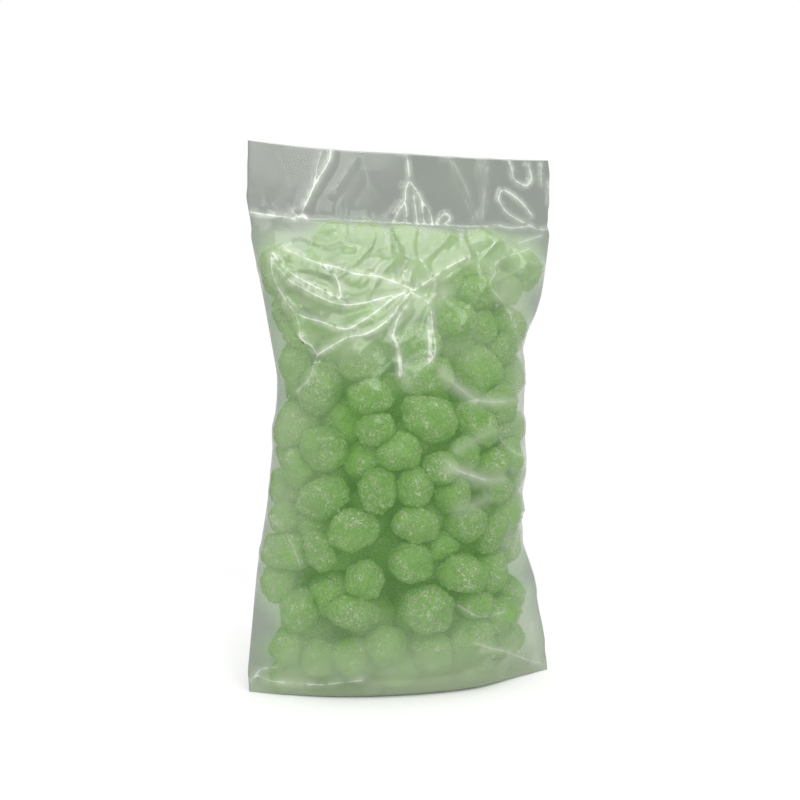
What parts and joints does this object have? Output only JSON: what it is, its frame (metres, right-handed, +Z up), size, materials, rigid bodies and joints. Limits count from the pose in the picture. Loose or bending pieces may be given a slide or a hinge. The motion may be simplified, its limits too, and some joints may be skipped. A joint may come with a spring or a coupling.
{
  "type": "packing peanut bag",
  "caption": "Clear heat-sealed film bag, standing upright, filled with pale green puffed starch packing peanuts, with a flat header above the seal.",
  "frame": {"origin": "middle of the flat base, on the surface that the bag stands on", "axes": "+Z up through the header; front of the bag towards -Y; +X to the right seen from the front"},
  "size_m": [0.172, 0.0798, 0.2912],
  "materials": {
    "film": "clear glossy film",
    "starch_peanut": "matte puffed starch"
  },
  "bodies": {
    "root": {"bag_film": "film", "front_peanut_01": "starch_peanut", "front_peanut_02": "starch_peanut", "front_peanut_03": "starch_peanut", "front_peanut_04": "starch_peanut", "front_peanut_05": "starch_peanut", "front_peanut_06": "starch_peanut", "front_peanut_07": "starch_peanut", "front_peanut_08": "starch_peanut", "front_peanut_09": "starch_peanut", "front_peanut_10": "starch_peanut", "front_peanut_11": "starch_peanut", "front_peanut_12": "starch_peanut", "front_peanut_13": "starch_peanut", "front_peanut_14": "starch_peanut", "front_peanut_15": "starch_peanut", "front_peanut_16": "starch_peanut", "front_peanut_17": "starch_peanut", "front_peanut_18": "starch_peanut", "front_peanut_19": "starch_peanut", "front_peanut_20": "starch_peanut", "front_peanut_21": "starch_peanut", "front_peanut_22": "starch_peanut", "front_peanut_23": "starch_peanut", "front_peanut_24": "starch_peanut", "front_peanut_25": "starch_peanut", "front_peanut_26": "starch_peanut", "front_peanut_27": "starch_peanut", "front_peanut_28": "starch_peanut", "front_peanut_29": "starch_peanut", "front_peanut_30": "starch_peanut", "front_peanut_31": "starch_peanut", "front_peanut_32": "starch_peanut", "front_peanut_33": "starch_peanut", "peanut_cluster_01": "starch_peanut", "peanut_cluster_02": "starch_peanut", "peanut_cluster_03": "starch_peanut", "peanut_cluster_04": "starch_peanut", "peanut_cluster_05": "starch_peanut", "peanut_cluster_06": "starch_peanut", "peanut_cluster_07": "starch_peanut", "peanut_cluster_08": "starch_peanut", "peanut_cluster_09": "starch_peanut", "peanut_cluster_10": "starch_peanut", "peanut_cluster_11": "starch_peanut", "peanut_cluster_12": "starch_peanut", "peanut_cluster_13": "starch_peanut", "peanut_cluster_14": "starch_peanut", "peanut_cluster_15": "starch_peanut", "peanut_cluster_16": "starch_peanut", "peanut_cluster_17": "starch_peanut", "peanut_cluster_18": "starch_peanut", "peanut_cluster_19": "starch_peanut", "peanut_cluster_20": "starch_peanut", "peanut_cluster_21": "starch_peanut", "peanut_cluster_22": "starch_peanut", "peanut_cluster_23": "starch_peanut", "peanut_cluster_24": "starch_peanut", "peanut_cluster_25": "starch_peanut", "peanut_cluster_26": "starch_peanut"}
  },
  "joints": []
}
